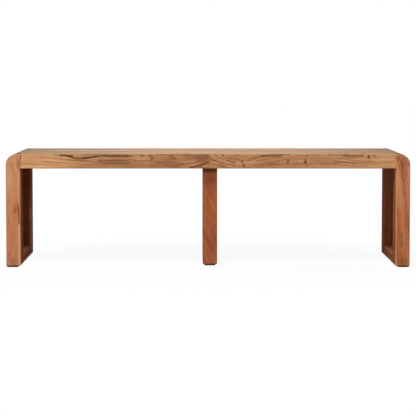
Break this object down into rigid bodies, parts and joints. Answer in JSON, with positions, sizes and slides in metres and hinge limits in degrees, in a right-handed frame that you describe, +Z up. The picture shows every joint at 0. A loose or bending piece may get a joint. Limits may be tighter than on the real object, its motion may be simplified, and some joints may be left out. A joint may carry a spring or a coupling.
{
  "type": "backless garden bench",
  "caption": "Backless outdoor hardwood bench with a boarded seat, looped end frames with rounded shoulders, and a centre frame set back under the seat.",
  "frame": {"origin": "on the ground under the middle of the bench's length and depth", "axes": "+X along the length, towards the right end seen from the front; -Y is the front; +Z up"},
  "size_m": [1.6, 0.38, 0.45],
  "materials": {
    "end_frame_wood": "oiled",
    "seat_rail_wood": "oiled",
    "seat_board_wood": "oiled",
    "centre_frame_wood": "oiled",
    "cross_rail_wood": "sawn and oiled",
    "dowel_wood": "plain",
    "fastener_steel": "satin",
    "insert_brass": "satin",
    "pad_rubber": "matte"
  },
  "bodies": {
    "root": {"centre_bolts": "fastener_steel", "centre_bottom_rail": "centre_frame_wood", "centre_front_post": "centre_frame_wood", "centre_nuts": "fastener_steel", "centre_rear_post": "centre_frame_wood", "centre_top_rail": "centre_frame_wood", "centre_washers": "fastener_steel", "end_bolts": "fastener_steel", "end_washers": "fastener_steel", "foot_pad_screws": "fastener_steel", "foot_pads": "pad_rubber", "left_board_screws": "fastener_steel", "left_bottom_rail": "end_frame_wood", "left_centre_cross_rail": "cross_rail_wood", "left_cross_rail_dowels": "dowel_wood", "left_end_cross_rail": "cross_rail_wood", "left_front_post": "end_frame_wood", "left_front_seat_rail": "seat_rail_wood", "left_middle_cross_rail": "cross_rail_wood", "left_rear_post": "end_frame_wood", "left_rear_seat_rail": "seat_rail_wood", "left_seat_board_1": "seat_board_wood", "left_seat_board_2": "seat_board_wood", "left_seat_board_3": "seat_board_wood", "left_seat_board_4": "seat_board_wood", "left_top_rail": "end_frame_wood", "right_board_screws": "fastener_steel", "right_bottom_rail": "end_frame_wood", "right_centre_cross_rail": "cross_rail_wood", "right_cross_rail_dowels": "dowel_wood", "right_end_cross_rail": "cross_rail_wood", "right_front_post": "end_frame_wood", "right_front_seat_rail": "seat_rail_wood", "right_middle_cross_rail": "cross_rail_wood", "right_rear_post": "end_frame_wood", "right_rear_seat_rail": "seat_rail_wood", "right_seat_board_1": "seat_board_wood", "right_seat_board_2": "seat_board_wood", "right_seat_board_3": "seat_board_wood", "right_seat_board_4": "seat_board_wood", "right_top_rail": "end_frame_wood", "seam_dowels": "dowel_wood", "seat_rail_dowels": "dowel_wood", "threaded_inserts": "insert_brass"}
  },
  "joints": []
}
